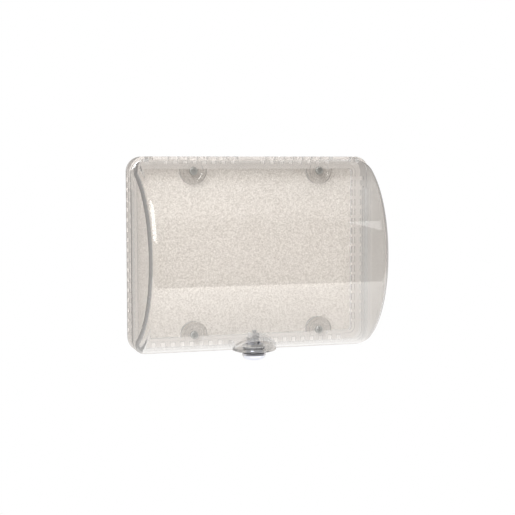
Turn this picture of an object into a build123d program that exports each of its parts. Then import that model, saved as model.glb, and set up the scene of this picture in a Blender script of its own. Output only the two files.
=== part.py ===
from build123d import *
import os

# Clear wall guard for a thermostat: a vented ring that screws to the wall, an arched
# cover hinged to its top edge and a cam lock in a boss at the bottom of the cover.
# Millimetres. X runs along the wall, Z is up and the wall is the plane Y = 0. The guard
# stands out of the wall towards -Y, and "depth" below is the distance out of the wall.

# ---- ring that screws to the wall ----
frame_width = 232.0
frame_height = 180.0
frame_depth = 18.0
frame_corner = 14.0
frame_wall = 2.8
flange_width = 11.6          # from the outer edge to the opening over the thermostat
flange_thickness = 2.5
opening_corner = 3.0
rib_thickness = 3.0          # low rib round the opening and round the screw ears
rib_height = 5.0

# ---- screw ears ----
ear_spacing_x = 124.0
ear_edge = 13.5              # screws in from the top and bottom edges
ear_offset_x = 8.5           # the four screws stand this far right of the middle
ear_radius = 12.6
ear_pad_radius = 5.4
ear_pad_height = 1.0
ear_dish_step = 0.4          # top of the dish below the rib round the ear
screw_radius = 2.0
screw_neck_radius = 1.6      # plain part under the head, inside the ear
screw_clearance = 0.3
screw_head_radius = 3.8
screw_head_height = 2.6
screw_out_of_back = 18.0
screw_head_edge = 0.9        # rounding of the head's rim
screw_point = 4.0
screw_tip_radius = 0.3
recess_width = 1.0
recess_length = 4.4
recess_depth = 1.3

# ---- air vents ----
vent_pitch = 9.2
vent_width = 4.4
vent_depth = 10.8
vent_bite = 7.2              # how far a vent cuts in from the outer edge
side_vent_width = 3.6
side_vent_start = 2.5        # the side vents are windows with a rim left behind them
vents_per_group = 8
top_group_start = 14.8       # middle of the first vent each side of the centre line
bottom_group_start = 27.6
rib_vent_width = 3.0

# ---- arched cover ----
cover_depth = 84.0           # front of the arch, out of the wall
cover_wall = 2.5
rim_gap = 0.4                # between the frame's front edge and the cover's rim
rim_step_x = 0.5             # the rim stands in from the frame's edge by these
rim_step_top = 3.0
rim_step_bottom = 0.0
side_draft = 4.0             # lean of the side walls, in degrees
corner_ease = 0.3            # the leaning sides pass the arch by this at the rim
arch_edge_radius = 8.0
arch_inner_radius = 3.0      # rounding inside the arch's edges
tongue_clearance = 0.4
tongue_clearance_z = 0.6
tongue_thickness = 1.8
tongue_length = 4.4
tongue_top = 60.0            # the tongue stops here, short of the hinge
ledge_thickness = 1.6        # joins the tongue to the rim

# ---- hinge at the top edge ----
hinge_x = 100.0              # inner face of each frame lug
lug_radius = 3.2
lug_top_step = 0.2           # lug top below the frame's top edge
frame_lug_width = 3.0
cover_lug_width = 4.0
hinge_side_gap = 0.4
hinge_face_gap = 0.2
trunnion_radius = 1.5
trunnion_fit = 0.06
lug_pocket_gap = 0.6

# ---- lock boss at the bottom of the cover ----
lock_depth = 21.0            # lock axis, out of the wall
boss_radius = 21.0
boss_back = 8.0
boss_drop = 1.0              # boss floor below the frame's bottom edge
boss_floor = 3.0
boss_wall = 2.5
boss_edge_radius = 2.5
boss_shoulder = 9.0          # height of the boss walls inside the frame
boss_gap = 0.6

# ---- cam lock ----
gasket_radius = 9.6
gasket_thickness = 2.4
head_radius = 11.0
head_height = 6.0
head_rim = 1.8
head_face_radius = 7.4
head_bulge = 0.9             # how far the head's side has come in at mid height
barrel_radius = 8.0
barrel_across_flats = 14.0
barrel_hole_gap = 0.2
star_washer_radius = 10.6
star_washer_thickness = 0.9
star_teeth = 12
star_tooth_width = 1.6
star_tooth_length = 2.4
star_tooth_out = 0.9         # how far the teeth stand out of the washer's disc
nut_across_flats = 20.0
nut_thickness = 2.8
barrel_over_nut = 0.4
thread_gap = 0.05
plug_radius = 5.0
plug_fit = 0.05
plug_face_radius = 5.8
plug_face_thickness = 1.4
plug_inset = 0.2
keyway_width = 1.8
keyway_length = 5.4
neck_radius = 3.3
neck_length = 1.7
tail_across_flats = 4.6
tail_fit = 0.1
stud_radius = 2.2
stud_end = 1.8
washer_thickness = 1.0
spring_washer_width = 2.2
spring_washer_split = 0.6
spring_washer_lean = 25.0    # degrees
stop_washer_radius = 5.4
stop_tab_reach = 7.0
stop_tab_width = 4.0
stop_block_inner = 6.2
stop_block_gap = 3.4         # degrees of free play at each end of the turn
stop_block_step = 0.3
cam_thickness = 2.0
cam_width = 9.0
cam_reach = 11.0
cam_nut_across_flats = 11.0
cam_nut_height = 5.0
lock_turn = 90.0             # degrees from free to locked

# ---- wafers and springs inside the plug ----
wafer_count = 5
wafer_pitch = 2.2
wafer_thickness = 1.2
wafer_width = 4.4
wafer_slot_gap = 0.05
wafer_side_gap = 0.05
wafer_end_gap = 0.1
wafer_window_width = 2.4
wafer_window_length = 6.0
wafer_throw = 0.7
wafer_first_rise = 1.5       # first wafer above the plug's face collar
wafer_arm_reach = 1.4
wafer_arm_length = 1.0
wafer_arm_x = 0.6
spring_room = 6.2
spring_radius = 0.5
spring_wire = 0.25
spring_turns = 4
groove_depth = 1.1
groove_width = 5.0
groove_end = 0.6

# ---- small amounts that only serve the modelling ----
overlap = 0.1                # pieces that are joined run into each other by this
past = 1.0                   # cutting pieces run past the surface by this

# ---- keeper that the cam turns behind ----
keeper_gap = 0.3
keeper_thickness = 2.8
keeper_height = 5.0
keeper_engagement = 3.6
keeper_side_gap = 0.4
keeper_foot_length = 8.0
keeper_foot_height = 4.0
keeper_foot_thickness = 1.6

# ---- worked out from the above ----
half_width = frame_width / 2
half_height = frame_height / 2
ear_z = half_height - ear_edge
rim_depth = frame_depth + rim_gap
rim_x = half_width - rim_step_x
rim_top = half_height - rim_step_top
rim_bottom = -half_height + rim_step_bottom
arch_half = (rim_top - rim_bottom) / 2
arch_level = (rim_top + rim_bottom) / 2
arch_rise = cover_depth - rim_depth
arch_radius = (arch_rise**2 + arch_half**2) / (2 * arch_rise)
arch_centre = cover_depth - arch_radius
hinge_depth = frame_depth + hinge_face_gap + lug_radius
hinge_z = half_height - lug_top_step - lug_radius
boss_bottom = -half_height - boss_drop
boss_floor_top = boss_bottom + boss_floor
head_top = boss_bottom - gasket_thickness
head_bottom = head_top - head_height
barrel_top = boss_floor_top + star_washer_thickness + nut_thickness + barrel_over_nut
neck_top = barrel_top + neck_length
cam_bottom = neck_top + washer_thickness
cam_top = cam_bottom + cam_thickness
cam_nut_bottom = cam_top + washer_thickness
stud_top = cam_nut_bottom + cam_nut_height + stud_end
plug_bottom = head_bottom + plug_inset
wafer_first_z = plug_bottom + plug_face_thickness + wafer_first_rise


def facing(depth):
    """Plane parallel to the wall at a depth, seen from the room: sketch X, Y are X, Z."""
    return Plane(origin=(0, -depth, 0), x_dir=(1, 0, 0), z_dir=(0, -1, 0))


def slab(sketch, depth_from, depth_to):
    """Outline in X and Z, carried out from the wall between two depths."""
    return extrude(facing(depth_from) * sketch, amount=depth_to - depth_from)


def upright(sketch, low, high):
    """Outline in X and Y, centred on the lock axis, carried up from low to high."""
    return extrude(Pos(0, -lock_depth, low) * sketch, amount=high - low)


def block(x_from, x_to, depth_from, depth_to, z_from, z_to):
    """Box given by its two ends along X, out of the wall and along Z."""
    size = Box(x_to - x_from, depth_to - depth_from, z_to - z_from)
    middle = Pos((x_from + x_to) / 2, -(depth_from + depth_to) / 2, (z_from + z_to) / 2)
    return middle * size


def hinge_disc(radius, x_from, x_to):
    """Cylinder on the hinge line between two places along it."""
    middle = Pos((x_from + x_to) / 2, -hinge_depth, hinge_z)
    return middle * Rot(0, 90, 0) * Cylinder(radius, x_to - x_from)


def ear_places():
    """Middles of the four screw ears."""
    return [
        (ear_offset_x + side * ear_spacing_x / 2, level * ear_z)
        for side in (-1, 1)
        for level in (-1, 1)
    ]


def discs_at(places, radius):
    """Sketch of equal discs."""
    return Sketch() + [Pos(x, z) * Circle(radius) for x, z in places]


def group_places(start):
    """Middles of the vents of one edge: two groups, mirrored about the centre."""
    side = [start + number * vent_pitch for number in range(vents_per_group)]
    return [-place for place in side] + side


def side_places():
    """Middles of the vents down one side."""
    count = 2 * vents_per_group
    return [(number - (count - 1) / 2) * vent_pitch for number in range(count)]


# ---------------------------------------------------------------- ring on the wall
def flange_land(inset):
    """Flat flange with its ears, drawn in from the opening's edge by inset."""
    outer = RectangleRounded(frame_width, frame_height, frame_corner)
    opening = RectangleRounded(
        frame_width - 2 * (flange_width - inset),
        frame_height - 2 * (flange_width - inset),
        opening_corner + inset,
    )
    ears = discs_at(ear_places(), ear_radius - inset)
    return (outer - opening) + ears


def opening_room():
    """Room straight out from the opening, as far as the rib stands."""
    width = half_width - flange_width
    height = half_height - flange_width
    return block(-width, width, 0, rib_height, -height, height)


def ear_dish():
    """Hollow fillet between an ear's flat bottom and its rib, turned about the screw."""
    inner = ear_pad_radius
    outer = ear_radius - rib_thickness / 2
    floor = flange_thickness
    low = floor - overlap
    top = rib_height - ear_dish_step
    with BuildSketch(Plane.XY) as profile:
        with BuildLine():
            Polyline((inner, -floor), (inner, -low), (outer, -low), (outer, -top))
            TangentArc((inner, -floor), (outer, -top), tangent=(1, 0))
        make_face()
    return revolve(profile.sketch, Axis.Y)


def frame_ring():
    """Flange, outer wall and the low rib that follows the opening and the ears."""
    outer = RectangleRounded(frame_width, frame_height, frame_corner)
    inner = RectangleRounded(
        frame_width - 2 * frame_wall, frame_height - 2 * frame_wall, frame_corner - frame_wall
    )
    ring = slab(flange_land(0), 0, flange_thickness)
    ring += slab(outer - inner, 0, frame_depth)
    ring += slab(flange_land(0) - flange_land(rib_thickness), 0, rib_height)
    for x, z in ear_places():
        ring += Pos(x, 0, z) * ear_dish() & opening_room()
    ring += slab(discs_at(ear_places(), ear_pad_radius), 0, flange_thickness + ear_pad_height)
    return ring


def vent_cuts():
    """Slots in the top and bottom edges, windows in the sides and gaps in the side ribs."""
    cuts = []
    half = vent_width / 2
    for start, side in ((top_group_start, 1), (bottom_group_start, -1)):
        edges = sorted((side * (half_height - vent_bite), side * (half_height + past)))
        cuts += [
            block(x - half, x + half, -past, vent_depth, *edges) for x in group_places(start)
        ]
    side_half = side_vent_width / 2
    rib_half = rib_vent_width / 2
    rib_out = half_width - flange_width + rib_thickness
    for side in (-1, 1):
        edges = sorted((side * (half_width - frame_wall - past), side * (half_width + past)))
        rib_edges = sorted((side * (rib_out - rib_thickness - past), side * (rib_out + past)))
        for z in side_places():
            cuts.append(
                block(*edges, side_vent_start, vent_depth, z - side_half, z + side_half)
            )
            cuts.append(
                block(*rib_edges, flange_thickness, rib_height + past, z - rib_half, z + rib_half)
            )
    return cuts


def frame_lug(side):
    """Hinge lug that stands out of the frame's top wall, with the hole for a trunnion."""
    x_from, x_to = sorted((side * hinge_x, side * (hinge_x + frame_lug_width)))
    lug = hinge_disc(lug_radius, x_from, x_to)
    lug += block(
        x_from, x_to, frame_depth - frame_wall, hinge_depth, hinge_z - lug_radius / 2,
        hinge_z + lug_radius,
    )
    return lug - hinge_disc(trunnion_radius + trunnion_fit, x_from - past, x_to + past)


def keeper_span():
    """Ends of the keeper's arm along X."""
    arm_in = cam_reach + keeper_side_gap
    return arm_in, arm_in + keeper_thickness


def keeper():
    """Catch on the flange: a foot, an arm and a hook that the cam turns behind."""
    arm_in, arm_out = keeper_span()
    hook_back = lock_depth + cam_width / 2 + keeper_gap
    hook_front = hook_back + keeper_thickness
    low = (cam_bottom + cam_top) / 2 - keeper_height / 2
    high = low + keeper_height
    seat = flange_thickness
    catch = block(arm_in, arm_out, seat, hook_front, low, high)
    catch = fillet(catch.edges().filter_by(Axis.Z).sort_by(Axis.Y)[0], keeper_thickness / 2)
    catch += block(
        cam_reach - keeper_engagement, arm_in + overlap, hook_back, hook_front, low, high
    )
    foot_top = -half_height + flange_width - rib_thickness
    catch += block(
        arm_in, arm_in + keeper_foot_length, seat, seat + keeper_foot_thickness,
        foot_top - keeper_foot_height, foot_top,
    )
    return catch


def base_frame():
    """Ring with its ears, vents and hinge lugs, and room for the lock boss and keeper."""
    ring = frame_ring()
    ring -= vent_cuts()
    boss_room = boss_radius + boss_gap
    ring -= block(
        -boss_room, boss_room, boss_back - boss_gap, frame_depth + past,
        -half_height - past, -half_height + frame_wall + overlap,
    )
    ring -= slab(
        discs_at(ear_places(), screw_radius + screw_clearance), -past, rib_height
    )
    arm_in, arm_out = keeper_span()
    rib_in = -half_height + flange_width
    ring -= block(
        arm_in - keeper_side_gap, arm_out + keeper_side_gap, flange_thickness,
        rib_height + past, rib_in - rib_thickness - overlap, rib_in + past,
    )
    return ring + frame_lug(-1) + frame_lug(1)


def wall_screw():
    """Pan-head screw on the axis of the sketch plane, with its crossed recess."""
    seat = flange_thickness + ear_pad_height
    head_top_depth = seat + screw_head_height
    head = slab(Circle(screw_head_radius), seat, head_top_depth)
    head = fillet(head.edges().sort_by(Axis.Y)[0], screw_head_edge)
    shank = slab(Circle(screw_neck_radius), 0, seat)
    shank += slab(Circle(screw_radius), screw_point - screw_out_of_back, 0)
    point = Pos(0, screw_out_of_back - screw_point / 2, 0) * Rot(-90, 0, 0) * Cone(
        screw_radius, screw_tip_radius, screw_point
    )
    cross = Rectangle(recess_length, recess_width) + Rectangle(recess_width, recess_length)
    recess = slab(cross, head_top_depth - recess_depth, head_top_depth + past)
    return head + shank + point - recess


def wall_screws():
    """The four screws that hold the ring on the wall."""
    screw = wall_screw()
    return Compound(children=[Pos(x, 0, z) * screw for x, z in ear_places()])


# ---------------------------------------------------------------- arched cover
def arch_form(inset, edge_radius):
    """Solid under the arch: a circular arch along X between two leaning, rounded ends."""
    across = 2 * frame_width
    disc = Pos(0, -arch_centre, arch_level) * Rot(0, 90, 0) * Cylinder(arch_radius - inset, across)
    outline = RectangleRounded(
        2 * (rim_x - inset),
        2 * (arch_half + corner_ease - inset),
        frame_corner - rim_step_x - inset,
    )
    ends = extrude(
        facing(rim_depth) * Pos(0, arch_level) * outline, amount=arch_rise + past, taper=side_draft
    )
    form = disc & ends
    front = form.faces().filter_by(GeomType.CYLINDER).sort_by(SortBy.AREA)[-1]
    arcs = [edge for edge in front.edges() if edge.geom_type != GeomType.LINE]
    return fillet(arcs, edge_radius)


def tongue_zone():
    """Room below the hinge where the tongue runs."""
    return block(-half_width, half_width, 0, cover_depth, -half_height, tongue_top)


def rim_tongue():
    """Band behind the rim that slips inside the frame's wall, with the ledge that carries it."""
    width = frame_width - 2 * (frame_wall + tongue_clearance)
    height = frame_height - 2 * (frame_wall + tongue_clearance_z)
    corner = frame_corner - frame_wall - tongue_clearance
    outer = RectangleRounded(width, height, corner)
    inner = RectangleRounded(
        width - 2 * tongue_thickness, height - 2 * tongue_thickness, corner - tongue_thickness
    )
    band = slab(outer - inner, rim_depth - tongue_length, rim_depth + ledge_thickness / 2)
    whole = Rectangle(frame_width, frame_height)
    ledge = slab(whole - inner, rim_depth, rim_depth + ledge_thickness)
    ledge = ledge & arch_form(0, arch_edge_radius)
    return (band + ledge) & tongue_zone()


def boss_plan(inset, back):
    """D-shaped outline of the lock boss: round to the front, straight to the back."""
    radius = boss_radius - inset
    front = Circle(radius) & Pos(0, -radius / 2) * Rectangle(2 * radius, radius)
    length = lock_depth - back
    return front + Pos(0, length / 2) * Rectangle(2 * radius, length)


def boss_outside():
    """Outer form of the lock boss, with its lower edge rounded."""
    form = upright(boss_plan(0, boss_back), boss_bottom, boss_bottom + boss_radius)
    form = fillet(form.faces().sort_by(Axis.Z)[0].edges(), boss_edge_radius)
    spare = block(
        -boss_radius - past, boss_radius + past, 0, rim_depth,
        boss_bottom + boss_shoulder, boss_bottom + boss_radius + past,
    )
    return form - spare


def boss_inside():
    """Room inside the boss, open towards the wall and up into the cover."""
    return upright(boss_plan(boss_wall, 0), boss_floor_top, boss_bottom + boss_radius + past)


def cover_lug(side):
    """Lug on the cover beside a frame lug, with the trunnion that turns in it."""
    face = hinge_x - hinge_side_gap
    x_from, x_to = sorted((side * (face - cover_lug_width), side * face))
    lug = hinge_disc(lug_radius, x_from, x_to)
    lug += block(
        x_from, x_to, hinge_depth - lug_radius, hinge_depth + lug_radius,
        rim_top - lug_radius, hinge_z,
    )
    pin_from, pin_to = sorted((side * (face - overlap), side * (hinge_x + frame_lug_width)))
    return lug + hinge_disc(trunnion_radius, pin_from, pin_to)


def lug_pocket(side):
    """Room in the cover round a frame lug."""
    gap = hinge_side_gap
    x_from, x_to = sorted((side * (hinge_x - gap), side * (hinge_x + frame_lug_width + gap)))
    pocket = hinge_disc(lug_radius + lug_pocket_gap, x_from, x_to)
    pocket += block(
        x_from, x_to, rim_depth - past, hinge_depth,
        hinge_z - lug_radius - lug_pocket_gap, half_height + past,
    )
    return pocket


def barrel_outline(gap):
    """Round barrel with two flats, grown all round by a gap."""
    flats = Rectangle(barrel_across_flats + 2 * gap, 2 * (barrel_radius + gap))
    return Circle(barrel_radius + gap) & flats


def cover():
    """Arched cover with its tongue, lock boss and hinge lugs."""
    shell = arch_form(0, arch_edge_radius) + boss_outside()
    shell -= arch_form(cover_wall, arch_inner_radius)
    shell += rim_tongue()
    shell -= boss_inside()
    shell -= upright(barrel_outline(barrel_hole_gap), boss_bottom - past, boss_floor_top + past)
    shell -= lug_pocket(-1) + lug_pocket(1)
    return shell + cover_lug(-1) + cover_lug(1)


# ---------------------------------------------------------------- cam lock
def ring_part(outer, inner, low, high):
    """Flat ring round the lock axis."""
    return upright(Circle(outer) - Circle(inner), low, high)


def lock_gasket():
    """Soft washer between the lock's head and the boss."""
    return ring_part(gasket_radius, barrel_radius + barrel_hole_gap, head_top, boss_bottom)


def head_form():
    """Domed head, turned about the lock axis."""
    rim_low = head_top - head_rim
    with BuildSketch(Plane.XZ) as profile:
        with BuildLine():
            Polyline((0, head_top), (head_radius, head_top), (head_radius, rim_low))
            ThreePointArc(
                (head_radius, rim_low),
                (head_radius - head_bulge, (rim_low + head_bottom) / 2),
                (head_face_radius, head_bottom),
            )
            Polyline((head_face_radius, head_bottom), (0, head_bottom), (0, head_top))
        make_face()
    return Pos(0, -lock_depth, 0) * revolve(profile.sketch, Axis.Z)


def stop_block():
    """Raised part of the barrel's end that the stop washer's tab turns between."""
    tab_half = degrees_across(stop_tab_width, (stop_block_inner + barrel_radius) / 2)
    first = tab_half + stop_block_gap
    last = 360 - lock_turn - tab_half - stop_block_gap
    reach = 2 * barrel_radius
    steps = [first + (last - first) * share / 4 for share in range(5)]
    corners = [Vector(reach, 0).rotate(Axis.Z, angle) for angle in steps]
    wedge = make_face(Polyline((0, 0), *[(c.X, c.Y) for c in corners], (0, 0)))
    band = (barrel_outline(0) - Circle(stop_block_inner)) & wedge
    return upright(band, barrel_top, cam_bottom - stop_block_step)


def degrees_across(width, radius):
    """Half the angle that a width covers at a radius."""
    return Vector(radius, 0).get_angle(Vector(radius, width / 2))


def lock_body():
    """Head and flatted barrel, with the plug's bore and two grooves for the wafers."""
    body = head_form() + upright(barrel_outline(0), head_top, barrel_top) + stop_block()
    body -= upright(Circle(plug_radius + plug_fit), head_bottom - past, cam_top)
    collar = plug_bottom + plug_face_thickness + plug_fit
    body -= upright(Circle(plug_face_radius + plug_fit), head_bottom - past, collar)
    low = wafer_first_z - wafer_thickness / 2 - groove_end
    reach = plug_radius + groove_depth
    body -= upright(Pos(reach / 2, 0) * Rectangle(reach, groove_width), low, cam_top)
    body -= upright(Pos(0, -reach / 2) * Rectangle(groove_width, reach), low, cam_top)
    return body


def hexagon(across_flats):
    """Hexagon by its size across flats."""
    return RegularPolygon(across_flats / 2, 6, major_radius=False)


def lock_washer():
    """Star washer under the lock's nut, with its row of teeth."""
    tooth = Rectangle(star_tooth_length, star_tooth_width)
    places = PolarLocations(star_washer_radius - star_tooth_length / 2, star_teeth)
    disc = Circle(star_washer_radius - star_tooth_out)
    plan = disc + [place * tooth for place in places] - Circle(barrel_radius + thread_gap)
    return upright(plan, boss_floor_top, boss_floor_top + star_washer_thickness)


def lock_nut():
    """Thin hexagon nut that clamps the lock in the boss."""
    low = boss_floor_top + star_washer_thickness
    plan = hexagon(nut_across_flats) - Circle(barrel_radius + thread_gap)
    return upright(plan, low, low + nut_thickness)


def wafer_levels():
    """Heights of the wafers' middles."""
    return [wafer_first_z + number * wafer_pitch for number in range(wafer_count)]


def lock_plug():
    """Turning plug: face collar, keyway, wafer slots, neck, square tail and stud."""
    plug = upright(Circle(plug_radius), plug_bottom, barrel_top - plug_fit)
    plug += upright(Circle(plug_face_radius), plug_bottom, plug_bottom + plug_face_thickness)
    plug += upright(Circle(neck_radius), barrel_top - past, neck_top)
    plug += upright(Rectangle(tail_across_flats, tail_across_flats), neck_top - past, cam_top)
    plug += upright(Circle(stud_radius), cam_top - past, stud_top)
    last = wafer_levels()[-1] + wafer_thickness
    plug -= upright(Rectangle(keyway_length, keyway_width), plug_bottom - past, last)
    half_slot = wafer_thickness / 2 + wafer_slot_gap
    slot_side = wafer_width / 2 + wafer_side_gap
    arm = wafer_arm_reach + 2 * wafer_side_gap
    for level in wafer_levels():
        slot = Rectangle(2 * (plug_radius + past), 2 * slot_side)
        slot += Pos(0, slot_side + arm / 2 - overlap) * Rectangle(spring_room, arm + 2 * overlap)
        plug -= upright(slot, level - half_slot, level + half_slot)
    return plug


def wafer(level):
    """Flat wafer with the key's window and the side arm that its spring pushes."""
    outline = Circle(plug_radius - wafer_end_gap) & Rectangle(2 * plug_radius, wafer_width)
    outline -= Rectangle(wafer_window_length, wafer_window_width)
    arm_middle = wafer_arm_x + wafer_arm_length / 2
    outline += Pos(arm_middle, (wafer_width + wafer_arm_reach) / 2 - overlap) * Rectangle(
        wafer_arm_length, wafer_arm_reach + 2 * overlap
    )
    half = wafer_thickness / 2
    return upright(outline, level - half, level + half)


def wafer_spring(level):
    """Coil spring between the plug and the wafer's arm, lying along X."""
    start = spring_wire - spring_room / 2
    coil_length = wafer_arm_x - spring_wire - start
    path = Helix(coil_length / spring_turns, coil_length, spring_radius - spring_wire / 2)
    section = Plane(path @ 0, z_dir=path % 0) * Rectangle(spring_wire, spring_wire)
    coil = sweep(section, path=path)
    side = (wafer_width + wafer_arm_reach) / 2
    return Pos(start, side - lock_depth, level) * Rot(0, 90, 0) * coil


def square_hole():
    """Hole that the plug's square tail fits."""
    return Rectangle(tail_across_flats + 2 * tail_fit, tail_across_flats + 2 * tail_fit)


def stop_washer():
    """Washer with the tab that ends the plug's turn each way."""
    tab_from = stop_washer_radius - past
    tab = Pos((tab_from + stop_tab_reach) / 2, 0) * Rectangle(
        stop_tab_reach - tab_from, stop_tab_width
    )
    return upright(Circle(stop_washer_radius) + tab - square_hole(), neck_top, cam_bottom)


def cam():
    """Flat cam with a round end, pointing to the wall while the lock is open."""
    arm = Circle(cam_reach) & Pos(0, cam_reach / 2) * Rectangle(cam_width, cam_reach)
    arm += Circle(cam_width / 2)
    return upright(arm - square_hole(), cam_bottom, cam_top)


def cam_spring_washer():
    """Split washer under the cam's nut."""
    ring = Circle(stud_radius + spring_washer_width) - Circle(stud_radius + thread_gap)
    split = Rectangle(2 * spring_washer_width, spring_washer_split)
    split = Pos(stud_radius + spring_washer_width / 2, 0) * Rot(0, 0, spring_washer_lean) * split
    return upright(ring - split, cam_top, cam_nut_bottom)


def cam_nut():
    """Hexagon nut on the plug's stud."""
    nut = hexagon(cam_nut_across_flats) - Circle(stud_radius + thread_gap)
    return upright(nut, cam_nut_bottom, cam_nut_bottom + cam_nut_height)


parts = {
    "base_frame": base_frame(),
    "keeper": keeper(),
    "wall_screws": wall_screws(),
    "cover": cover(),
    "lock_gasket": lock_gasket(),
    "lock_body": lock_body(),
    "lock_washer": lock_washer(),
    "lock_nut": lock_nut(),
    "lock_plug": lock_plug(),
    "stop_washer": stop_washer(),
    "cam": cam(),
    "cam_spring_washer": cam_spring_washer(),
    "cam_nut": cam_nut(),
}
for number, level in enumerate(wafer_levels(), start=1):
    parts[f"wafer_{number}"] = wafer(level)
    parts[f"wafer_spring_{number}"] = wafer_spring(level)

os.makedirs("parts", exist_ok=True)
for name, shape in parts.items():
    export_step(shape, f"parts/{name}.step")
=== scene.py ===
# %% [markdown]
# A clear guard for a room thermostat: a vented plastic frame on the wall, an arched clear cover hinged
# along its top edge, and a cam lock in a small boss under the cover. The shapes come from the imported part,
# and this lesson dresses them. Almost everything here is see-through, so the looks depend on real wall
# thickness, a true index of refraction and what stands around the guard to be reflected in it.

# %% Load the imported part
import math

import bpy
import numpy as np
from mathutils import Matrix, Vector


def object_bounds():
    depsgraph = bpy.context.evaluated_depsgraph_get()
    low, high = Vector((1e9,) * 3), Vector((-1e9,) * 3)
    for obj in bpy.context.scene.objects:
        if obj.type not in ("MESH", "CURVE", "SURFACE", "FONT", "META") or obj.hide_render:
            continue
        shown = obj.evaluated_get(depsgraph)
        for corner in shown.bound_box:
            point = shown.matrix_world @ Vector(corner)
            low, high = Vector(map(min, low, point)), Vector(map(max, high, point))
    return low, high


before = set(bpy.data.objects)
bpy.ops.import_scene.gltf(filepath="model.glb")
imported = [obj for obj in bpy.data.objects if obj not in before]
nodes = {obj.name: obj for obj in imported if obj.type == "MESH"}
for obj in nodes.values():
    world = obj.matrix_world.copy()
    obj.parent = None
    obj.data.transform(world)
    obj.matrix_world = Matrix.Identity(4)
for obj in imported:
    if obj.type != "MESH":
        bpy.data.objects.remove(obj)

cad_low, cad_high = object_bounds()

# %% [markdown]
# The camera. A long lens from far away flattens a product, and a short one close by bends it. Here the
# eye stands 1.1 m out, about 17 degrees to the left of straight on and a hand's width above the middle, so
# the arch shows its curve on the right and its flat end on the left. The lens is 82.5 mm on a 36 mm sensor.

# %% Camera
EYE = Vector((-0.32187, -1.06976, 0.08111))
RIGHT = Vector((0.95501, -0.29656, -0.00159))
UP = Vector((0.02458, 0.07382, 0.99697))
LENS_MM = 82.51
VIEW_SHIFT = 0.00136


def camera_at(eye, right, up, lens_mm):
    """A camera whose own X axis is right and own Y axis is up; it looks along minus its Z axis."""
    data = bpy.data.cameras.new("eye")
    data.sensor_width = 36.0
    data.lens = lens_mm
    data.shift_y = VIEW_SHIFT
    camera = bpy.data.objects.new("eye", data)
    back = right.cross(up).normalized()
    turn = Matrix((right.normalized(), back.cross(right).normalized(), back)).transposed()
    camera.matrix_world = Matrix.Translation(eye) @ turn.to_4x4()
    bpy.context.scene.collection.objects.link(camera)
    bpy.context.scene.camera = camera
    return camera


camera = camera_at(EYE, RIGHT, UP, LENS_MM)
bpy.context.scene.view_settings.view_transform = "Standard"
print("camera looks along", [round(v, 3) for v in -camera.matrix_world.col[2].xyz])

# %% [markdown]
# Small tools for shader trees. A tree can be built by hand in the editor, but a lesson that can be run
# again needs it in code. add() makes a node and fills its inputs, and an input may be a value or another
# node's output, so a tree reads from left to right.


# %% Shader tools
def add(tree, kind, inputs=None, **settings):
    """New node of a kind. inputs maps an input's name or number to a value or to an output socket."""
    node = tree.nodes.new(kind)
    for key, value in settings.items():
        setattr(node, key, value)
    for key, value in (inputs or {}).items():
        if isinstance(value, bpy.types.NodeSocket):
            tree.links.new(value, node.inputs[key])
        else:
            node.inputs[key].default_value = value
    return node


def map_range(tree, value, source, target=(0.0, 1.0)):
    """Output socket of value carried from the range source to the range target, clamped."""
    return add(tree, "ShaderNodeMapRange", {
        "Value": value, "From Min": source[0], "From Max": source[1],
        "To Min": target[0], "To Max": target[1],
    }).outputs[0]


def math_node(tree, operation, *values, use_clamp=False):
    """Output socket of a sum, product or comparison of its values."""
    inputs = dict(enumerate(values))
    return add(tree, "ShaderNodeMath", inputs, operation=operation, use_clamp=use_clamp).outputs[0]


def blend(tree, share, first, second):
    """Colour output that runs from first to second as share goes from 0 to 1."""
    return add(tree, "ShaderNodeMix", {0: share, 6: first, 7: second}, data_type="RGBA").outputs[2]


def bump_node(tree, height, distance, strength=1.0):
    """Normal output of a bump of a height in metres."""
    inputs = {"Height": height, "Strength": strength, "Distance": distance}
    return add(tree, "ShaderNodeBump", inputs).outputs[0]


def new_group(name, inputs, outputs):
    """Node group with named float or colour inputs and outputs; a four-number default makes a colour."""
    group = bpy.data.node_groups.new(name, "ShaderNodeTree")
    for label, default in inputs.items():
        kind = "NodeSocketColor" if isinstance(default, tuple) else "NodeSocketFloat"
        socket = group.interface.new_socket(label, in_out="INPUT", socket_type=kind)
        socket.default_value = default
    for label, kind in outputs.items():
        group.interface.new_socket(label, in_out="OUTPUT", socket_type=kind)
    entry = group.nodes.new("NodeGroupInput")
    leave = group.nodes.new("NodeGroupOutput")
    return group, entry.outputs, leave.inputs


def use_group(tree, group, inputs=None):
    """Places a group in a tree and fills its inputs."""
    node = tree.nodes.new("ShaderNodeGroup")
    node.node_tree = group
    for key, value in (inputs or {}).items():
        node.inputs[key].default_value = value
    return node


def new_material(name):
    """Empty material with an output node."""
    material = bpy.data.materials.new(name)
    material.use_nodes = True
    tree = material.node_tree
    tree.nodes.clear()
    return material, tree, tree.nodes.new("ShaderNodeOutputMaterial")


print("shader tools ready")

# %% [markdown]
# Marks of handling. A moulded clear cover is glossy, but fingers and dusting leave faint cloudy patches and
# hair-fine lines that show only in a reflection. An image of smudges would repeat and has no scale, so two
# noises are used instead: a slow one for patches, and one squeezed along a direction for the fine lines.


# %% Shared effect: handling marks
PATCH_SHARE = 0.7


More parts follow.
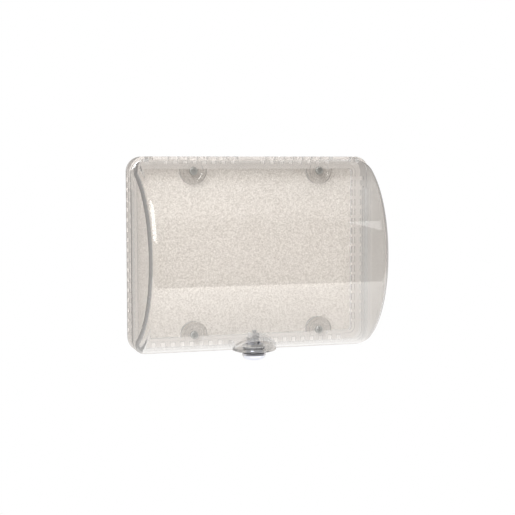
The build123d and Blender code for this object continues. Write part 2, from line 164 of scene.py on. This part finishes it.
def handling_marks():
    """Roughness = low + (high - low) * clamp(share * patches + (1 - share) * lines)."""
    group, given, out = new_group(
        "handling_marks",
        {"Patch Scale": 30.0, "Line Scale": 900.0, "Low": 0.01, "High": 0.06},
        {"Roughness": "NodeSocketFloat"},
    )
    where = add(group, "ShaderNodeTexCoord").outputs["Object"]
    patches = add(group, "ShaderNodeTexNoise", {
        "Vector": where, "Scale": given["Patch Scale"], "Detail": 4.0,
    })
    squeezed = add(group, "ShaderNodeMapping", {
        "Vector": where, "Rotation": (0.3, 0.5, 0.4), "Scale": (1.0, 0.04, 0.3),
    })
    lines = add(group, "ShaderNodeTexNoise", {
        "Vector": squeezed.outputs[0], "Scale": given["Line Scale"], "Detail": 2.0,
    })
    fine = map_range(group, lines.outputs[0], (0.56, 0.72))
    cloudy = map_range(group, patches.outputs[0], (0.42, 0.75))
    faint = math_node(group, "MULTIPLY", fine, 1 - PATCH_SHARE)
    total = math_node(group, "MULTIPLY_ADD", cloudy, PATCH_SHARE, faint, use_clamp=True)
    rough = map_range(group, total, (0.0, 1.0), (given["Low"], given["High"]))
    group.links.new(rough, out["Roughness"])
    return group


marks = handling_marks()
print("group:", marks.name)

# %% [markdown]
# Skin of a moulding. Plastic that flows into a thin mould keeps a very slow ripple, which bends the things
# seen through it a little. The ripple is far too low to model, and a bump of one or two hundredths of a
# millimetre is enough to break up a reflection that would otherwise look like perfect glass.


# %% Shared effect: mould ripple
def mould_ripple():
    """Height = slow noise + 0.15 * quicker noise, both in Object coordinates."""
    group, given, out = new_group("mould_ripple", {"Scale": 18.0}, {"Height": "NodeSocketFloat"})
    where = add(group, "ShaderNodeTexCoord").outputs["Object"]
    slow = add(group, "ShaderNodeTexNoise", {"Vector": where, "Scale": given["Scale"], "Detail": 1.0})
    quick_scale = math_node(group, "MULTIPLY", given["Scale"], 7.0)
    quick = add(group, "ShaderNodeTexNoise", {"Vector": where, "Scale": quick_scale, "Detail": 1.0})
    height = math_node(group, "MULTIPLY_ADD", quick.outputs[0], 0.15, slow.outputs[0])
    group.links.new(height, out["Height"])
    return group


ripple = mould_ripple()
print("group:", ripple.name)

# %% [markdown]
# Clear polycarbonate. A see-through part can be faked with alpha, but then its edges never go dark or
# bright. Here the light really bends: transmission 1 and the index 1.58 of polycarbonate, through walls
# that have their true thickness. Straight shadow rays are let through, since bent ones would leave the wall
# behind the cover black. A ray that is caught inside a wall, as in a light guide, would be given up at the
# bounce limit and leave a black line at each bend. So past CAUGHT_DEPTH bounces it meets a set warm grey
# instead. That grey is a stand-in for light that the wall carries along, and is not traced.


# %% Clear plastic
CAUGHT_DEPTH = 5.5
POLYCARBONATE_INDEX = 1.58
GUIDED_COLOUR = (1.0, 0.97, 0.94, 1)


def clear_plastic(name, tint, low, high, ripple_mm, shade, guided):
    """Refracting plastic; a shadow ray passes with the colour shade, a caught ray ends in guided light.

    guided = (strength where the ray meets the wall square, strength where it grazes it)
    """
    material, tree, output = new_material(name)
    worn = use_group(tree, marks, {"Patch Scale": 26.0, "Line Scale": 700.0, "Low": low, "High": high})
    skin = use_group(tree, ripple, {"Scale": 16.0})
    plastic = add(tree, "ShaderNodeBsdfPrincipled", {
        "Base Color": tint, "Roughness": worn.outputs["Roughness"], "IOR": POLYCARBONATE_INDEX,
        "Transmission Weight": 1.0, "Normal": bump_node(tree, skin.outputs["Height"], ripple_mm / 1000),
    })
    passing = add(tree, "ShaderNodeBsdfTransparent", {"Color": shade})
    ray = add(tree, "ShaderNodeLightPath").outputs
    either = add(tree, "ShaderNodeMixShader", {
        0: ray["Is Shadow Ray"], 1: plastic.outputs[0], 2: passing.outputs[0],
    })
    facing = add(tree, "ShaderNodeLayerWeight", {"Blend": 0.5}).outputs["Facing"]
    level = map_range(tree, facing, (0.3, 0.9), guided)
    carried = add(tree, "ShaderNodeEmission", {"Color": GUIDED_COLOUR, "Strength": level})
    caught = math_node(tree, "GREATER_THAN", ray["Ray Depth"], CAUGHT_DEPTH)
    ended = add(tree, "ShaderNodeMixShader", {0: caught, 1: either.outputs[0], 2: carried.outputs[0]})
    tree.links.new(ended.outputs[0], output.inputs["Surface"])
    return material


cover_plastic = clear_plastic(
    "cover_plastic", tint=(0.985, 0.985, 0.98, 1), low=0.0, high=0.02, ripple_mm=0.02,
    shade=(0.96, 0.96, 0.96, 1), guided=(0.26, 0.76),
)
frame_plastic = clear_plastic(
    "frame_plastic", tint=(0.94, 0.938, 0.935, 1), low=0.01, high=0.05, ripple_mm=0.008,
    shade=(0.84, 0.84, 0.84, 1), guided=(0.62, 0.84),
)
print("clear plastics:", cover_plastic.name, frame_plastic.name)

# %% [markdown]
# Metals. The lock's head and nut are polished and plated, the cam and washers are stamped steel with dull
# zinc on it, and the wafers are brass. They differ in colour and roughness but age in the same way, with a
# fine grain and slightly duller patches, so one group serves them all.


# %% Shared effect: metal grain
def metal_grain():
    """Colour and roughness mixed by noise: light where the noise is low, dark and rough where it is high."""
    group, given, out = new_group(
        "metal_grain",
        {"Light": (0.8, 0.8, 0.8, 1), "Dark": (0.6, 0.6, 0.6, 1), "Scale": 300.0, "Low": 0.1, "High": 0.3},
        {"Color": "NodeSocketColor", "Roughness": "NodeSocketFloat", "Height": "NodeSocketFloat"},
    )
    where = add(group, "ShaderNodeTexCoord").outputs["Object"]
    noise = add(group, "ShaderNodeTexNoise", {
        "Vector": where, "Scale": given["Scale"], "Detail": 6.0, "Roughness": 0.6,
    }).outputs[0]
    level = map_range(group, noise, (0.35, 0.7))
    rough = map_range(group, level, (0.0, 1.0), (given["Low"], given["High"]))
    group.links.new(blend(group, level, given["Light"], given["Dark"]), out["Color"])
    group.links.new(rough, out["Roughness"])
    group.links.new(noise, out["Height"])
    return group


grain = metal_grain()


def metal(name, light, dark, scale, low, high, bump_mm):
    """Plated or bare metal, with its grain as colour, roughness and a low bump."""
    material, tree, output = new_material(name)
    look = use_group(tree, grain, {"Light": light, "Dark": dark, "Scale": scale, "Low": low, "High": high})
    surface = add(tree, "ShaderNodeBsdfPrincipled", {
        "Base Color": look.outputs["Color"], "Roughness": look.outputs["Roughness"], "Metallic": 1.0,
        "Normal": bump_node(tree, look.outputs["Height"], bump_mm / 1000),
    })
    tree.links.new(surface.outputs[0], output.inputs["Surface"])
    return material


chrome = metal("lock_plating", (0.84, 0.86, 0.93, 1), (0.74, 0.76, 0.84, 1), 250.0, 0.06, 0.16, 0.004)
nickel = metal("nut_plating", (0.95, 0.95, 0.95, 1), (0.82, 0.82, 0.82, 1), 350.0, 0.04, 0.12, 0.004)
zinc = metal("zinc_steel", (0.70, 0.71, 0.73, 1), (0.52, 0.53, 0.56, 1), 500.0, 0.22, 0.42, 0.01)
screw_steel = metal("screw_steel", (0.48, 0.48, 0.46, 1), (0.40, 0.40, 0.38, 1), 600.0, 0.42, 0.58, 0.010)
brass = metal("wafer_brass", (0.80, 0.62, 0.30, 1), (0.62, 0.45, 0.20, 1), 500.0, 0.2, 0.4, 0.01)
wire = metal("spring_wire", (0.62, 0.62, 0.62, 1), (0.45, 0.45, 0.45, 1), 900.0, 0.2, 0.35, 0.004)
print("metals:", [m.name for m in (chrome, nickel, zinc, screw_steel, brass, wire)])

# %% [markdown]
# Rubber. The soft washer under the lock's head is black, matt and slightly dusty. Rubber is never pure
# black: a pale bloom comes to its skin, so a noise lifts the colour a little in places.


# %% Rubber
def rubber_ring(name):
    """Near-black rubber, paler where its bloom shows."""
    material, tree, output = new_material(name)
    where = add(tree, "ShaderNodeTexCoord").outputs["Object"]
    bloom = add(tree, "ShaderNodeTexNoise", {"Vector": where, "Scale": 220.0, "Detail": 5.0}).outputs[0]
    level = map_range(tree, bloom, (0.45, 0.75))
    surface = add(tree, "ShaderNodeBsdfPrincipled", {
        "Base Color": blend(tree, level, (0.018, 0.018, 0.020, 1), (0.055, 0.055, 0.055, 1)),
        "Roughness": 0.62, "Normal": bump_node(tree, bloom, 0.00004),
    })
    tree.links.new(surface.outputs[0], output.inputs["Surface"])
    return material


rubber = rubber_ring("gasket_rubber")
print("rubber:", rubber.name)

# %% [markdown]
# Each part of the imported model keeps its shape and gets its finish. The names of the parts say what they
# are, so a short table is all that is needed.

# %% Finishes for the parts
FINISHES = {
    "base_frame": frame_plastic, "keeper": frame_plastic, "cover": cover_plastic, "wall_screws": screw_steel,
    "lock_gasket": rubber, "lock_body": chrome, "lock_washer": zinc, "lock_nut": nickel,
    "lock_plug": nickel, "stop_washer": zinc, "cam": zinc, "cam_spring_washer": zinc, "cam_nut": nickel,
}
for number in range(1, 6):
    FINISHES[f"wafer_{number}"] = brass
    FINISHES[f"wafer_spring_{number}"] = wire
for name, finish in FINISHES.items():
    mesh = nodes[name].data
    mesh.materials.clear()
    mesh.materials.append(finish)
print("parts dressed:", len(FINISHES), "of", len(nodes))

# %% [markdown]
# The stage. The guard hangs on a painted wall, and its colour is mostly the colour of that wall seen through
# it. A full wall would hide the back views, so the stage has only a piece of wall as large as the guard,
# seen from the room side alone. It is speckled inside the frame's opening. Round it, behind the frame's
# flange, the paint is plainer and much lighter: that lightness is painted light, standing in for the milky
# glow of light scattered in the flange. The floor is plain and pale.


# %% Wall behind the guard and floor
OPENING_HALF_WIDTH = 0.1044
OPENING_HALF_HEIGHT = 0.0784
WALL_INSET = 0.00005
WALL_WIDTH = cad_high[0] - cad_low[0] - 2 * WALL_INSET
WALL_HEIGHT = 2 * cad_high[2] - 2 * WALL_INSET     # the lock hangs lower than the outline
WALL_CORNER = 0.0140
WALL_BEHIND = 0.0004
FLOOR_WIDTH = 5.0
FLOOR_DEPTH = 1.86
FLOOR_CORNER = 0.2
FLOOR_Z = -0.6


def rounded_sheet(name, width, height, radius, y, steps=12):
    """Flat rounded rectangle in X and Z: corner arcs of radius round the four corner centres."""
    quarter = np.linspace(0.0, math.pi / 2, steps)
    corners = [(1, 1, 0.0), (-1, 1, 0.5), (-1, -1, 1.0), (1, -1, 1.5)]
    rim = np.concatenate([
        np.stack([
            sx * (width / 2 - radius) + radius * np.cos(quarter + turn * math.pi),
            np.full(steps, y),
            sz * (height / 2 - radius) + radius * np.sin(quarter + turn * math.pi),
        ], axis=1)
        for sx, sz, turn in corners
    ])
    mesh = bpy.data.meshes.new(name)
    mesh.from_pydata(rim.tolist(), [], [list(range(len(rim)))])
    mesh.update()
    sheet = bpy.data.objects.new(name, mesh)
    bpy.context.scene.collection.objects.link(sheet)
    return sheet


def wall_paint(name):
    """Speckled board inside the frame's opening and plain paint round it, lighter than the board as painted
    light for the glow scattered in the frame's flange; the back is not seen.

    The border between them is where max(|x| - half width, |z| - half height) passes nought.
    """
    material, tree, output = new_material(name)
    where = add(tree, "ShaderNodeTexCoord").outputs["Object"]
    grit = add(tree, "ShaderNodeTexNoise", {
        "Vector": where, "Scale": 2400.0, "Detail": 1.0, "Roughness": 0.7,
    })
    lumps = add(tree, "ShaderNodeTexNoise", {"Vector": where, "Scale": 700.0, "Detail": 2.0})
    both = math_node(tree, "MULTIPLY_ADD", lumps.outputs[0], 0.35, grit.outputs[0])
    speck = map_range(tree, both, (0.50, 0.80))
    board = blend(tree, speck, (0.27, 0.225, 0.185, 1), (0.86, 0.815, 0.765, 1))
    # Painted light: the plain paint round the opening is lighter than the board and stands in for the milky
    # glow of light scattered in the frame's flange in front of it.
    plain = blend(tree, speck, (0.82, 0.775, 0.735, 1), (0.90, 0.855, 0.815, 1))
    place = add(tree, "ShaderNodeSeparateXYZ", {0: where}).outputs
    past = [
        math_node(tree, "SUBTRACT", math_node(tree, "ABSOLUTE", place[axis]), edge)
        for axis, edge in (("X", OPENING_HALF_WIDTH), ("Z", OPENING_HALF_HEIGHT))
    ]
    outside = math_node(tree, "MAXIMUM", *past)
    border = math_node(tree, "GREATER_THAN", outside, 0.0)
    paint = add(tree, "ShaderNodeBsdfPrincipled", {
        "Base Color": blend(tree, border, board, plain), "Roughness": 0.75,
        "Normal": bump_node(tree, both, 0.0003, strength=0.6),
    })
    unseen = add(tree, "ShaderNodeBsdfTransparent")
    side = add(tree, "ShaderNodeNewGeometry").outputs["Backfacing"]
    either = add(tree, "ShaderNodeMixShader", {0: side, 1: paint.outputs[0], 2: unseen.outputs[0]})
    tree.links.new(either.outputs[0], output.inputs["Surface"])
    return material


def floor_white(name):
    """White to the camera; to every other ray a warm glow, stronger in front than under the guard."""
    material, tree, output = new_material(name)
    glow = add(tree, "ShaderNodeEmission", {"Color": (1.0, 1.0, 1.0, 1), "Strength": 1.0})
    where = add(tree, "ShaderNodeTexCoord").outputs["Object"]
    reach = add(tree, "ShaderNodeSeparateXYZ", {0: where}).outputs["Y"]
    shine = map_range(tree, reach, (-0.93, -0.1), (1.9, 1.1))
    warm = add(tree, "ShaderNodeEmission", {"Color": (1.0, 0.985, 0.97, 1), "Strength": shine})
    seen = add(tree, "ShaderNodeLightPath").outputs["Is Camera Ray"]
    both = add(tree, "ShaderNodeMixShader", {0: seen, 1: warm.outputs[0], 2: glow.outputs[0]})
    tree.links.new(both.outputs[0], output.inputs["Surface"])
    return material


wall = rounded_sheet("stage_wall", WALL_WIDTH, WALL_HEIGHT, WALL_CORNER, WALL_BEHIND)
wall.data.materials.append(wall_paint("wall_paint"))
floor = rounded_sheet("stage_floor", FLOOR_WIDTH, FLOOR_DEPTH, FLOOR_CORNER, 0.0)
lay_flat = Matrix.Rotation(math.pi / 2, 4, "X")
floor.data.transform(Matrix.Translation((0, 0, FLOOR_Z)) @ lay_flat)
floor.data.materials.append(floor_white("floor_white"))
print("stage: wall faces", [round(v, 1) for v in wall.data.polygons[0].normal], "floor at", FLOOR_Z)

# %% [markdown]
# Light. A clear thing is drawn by what it reflects. A plain white room makes it vanish, so the surroundings
# are bright overhead and darker at eye level and below, where the floor gives its own light. Two soft boxes
# give the guard its long highlights. The camera itself sees the surroundings and the floor as white.


# %% Surroundings and lamps
def surroundings():
    """Grey room by height, a warm wall for directions behind the guard, and plain white to the camera."""
    world = bpy.data.worlds.new("studio")
    world.use_nodes = True
    tree = world.node_tree
    tree.nodes.clear()
    where = add(tree, "ShaderNodeTexCoord").outputs["Generated"]
    way = add(tree, "ShaderNodeSeparateXYZ", {0: where}).outputs
    bands = add(tree, "ShaderNodeValToRGB", {0: map_range(tree, way["Z"], (-1.0, 1.0))})
    ramp = bands.color_ramp
    ramp.elements[0].position, ramp.elements[0].color = 0.0, (0.32, 0.31, 0.30, 1)
    ramp.elements[1].position, ramp.elements[1].color = 1.0, (0.95, 0.93, 0.91, 1)
    for position, level in ((0.45, 0.32), (0.78, 0.36), (0.88, 0.85)):
        element = ramp.elements.new(position)
        element.color = (level, 0.97 * level, 0.95 * level, 1)
    behind = map_range(tree, way["Y"], (0.0, 0.25))
    rise = map_range(tree, way["Z"], (-0.35, 0.15))
    shade = blend(tree, rise, (0.88, 0.84, 0.80, 1), (0.36, 0.335, 0.315, 1))
    room = blend(tree, behind, bands.outputs[0], shade)
    seen = add(tree, "ShaderNodeLightPath").outputs["Is Camera Ray"]
    colour = blend(tree, seen, room, (1.0, 1.0, 1.0, 1))
    sky = add(tree, "ShaderNodeBackground", {"Color": colour, "Strength": 1.0})
    leave = tree.nodes.new("ShaderNodeOutputWorld")
    tree.links.new(sky.outputs[0], leave.inputs["Surface"])
    bpy.context.scene.world = world
    return world


def soft_box(name, place, aim, width, height, watts):
    """Rectangular area lamp at a place, facing a point."""
    data = bpy.data.lights.new(name, "AREA")
    data.shape, data.size, data.size_y, data.energy = "RECTANGLE", width, height, watts
    lamp = bpy.data.objects.new(name, data)
    lamp.location = place
    lamp.rotation_euler = (Vector(aim) - Vector(place)).to_track_quat("-Z", "Y").to_euler()
    bpy.context.scene.collection.objects.link(lamp)
    return lamp


surroundings()
key = soft_box("key_box", (-0.54, -0.76, 0.70), (0, 0, 0), 0.66, 0.92, 11.2)
panel = soft_box("far_panel", (0.80, -1.26, 0.83), (0.12, -0.07, 0.03), 0.24, 0.30, 0.35)
print("lamps:", key.name, panel.name)
